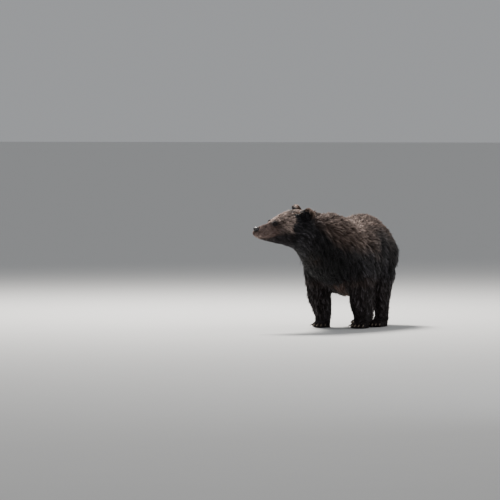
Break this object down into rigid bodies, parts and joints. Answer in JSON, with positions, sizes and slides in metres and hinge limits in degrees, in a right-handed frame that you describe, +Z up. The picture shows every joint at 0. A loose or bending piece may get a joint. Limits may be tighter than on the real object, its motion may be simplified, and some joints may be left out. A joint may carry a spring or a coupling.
{
  "type": "standing grizzly bear",
  "caption": "Life-size still model of a grizzly bear on all fours, head turned to its right, with humped shoulders, round ears, flat soles and long claws.",
  "frame": {"origin": "on the floor, under the middle of the model's bounding box", "axes": "+Z up; the bear's trunk faces -Y and its left side is at +X; the head is turned towards -X"},
  "size_m": [0.5832, 1.6128, 0.9621],
  "materials": {
    "coat_back": "dense brown fur with pale grizzled tips",
    "coat_head": "short tan and grey-brown fur",
    "coat_legs": "wet near-black fur in clumped locks",
    "nose": "moist black pebbled skin",
    "eye": "wet dark brown eyeball",
    "claw": "pale horn, darker at the root"
  },
  "bodies": {
    "root": {"claw_fore_left_1": "claw", "claw_fore_left_2": "claw", "claw_fore_left_3": "claw", "claw_fore_left_4": "claw", "claw_fore_left_5": "claw", "claw_fore_right_1": "claw", "claw_fore_right_2": "claw", "claw_fore_right_3": "claw", "claw_fore_right_4": "claw", "claw_fore_right_5": "claw", "claw_hind_left_1": "claw", "claw_hind_left_2": "claw", "claw_hind_left_3": "claw", "claw_hind_left_4": "claw", "claw_hind_left_5": "claw", "claw_hind_right_1": "claw", "claw_hind_right_2": "claw", "claw_hind_right_3": "claw", "claw_hind_right_4": "claw", "claw_hind_right_5": "claw", "ear_left": "coat_head", "ear_right": "coat_head", "eye_left": "eye", "eye_right": "eye", "fore_paw_left": "coat_legs", "fore_paw_right": "coat_legs", "forearm_left": "coat_legs", "forearm_right": "coat_legs", "head": "coat_head", "hind_paw_left": "coat_legs", "hind_paw_right": "coat_legs", "lower_jaw": "coat_head", "neck": "coat_back", "nose_pad": "nose", "shank_left": "coat_legs", "shank_right": "coat_legs", "tail": "coat_back", "thigh_left": "coat_legs", "thigh_right": "coat_legs", "trunk": "coat_back", "upper_arm_left": "coat_legs", "upper_arm_right": "coat_legs"}
  },
  "joints": []
}
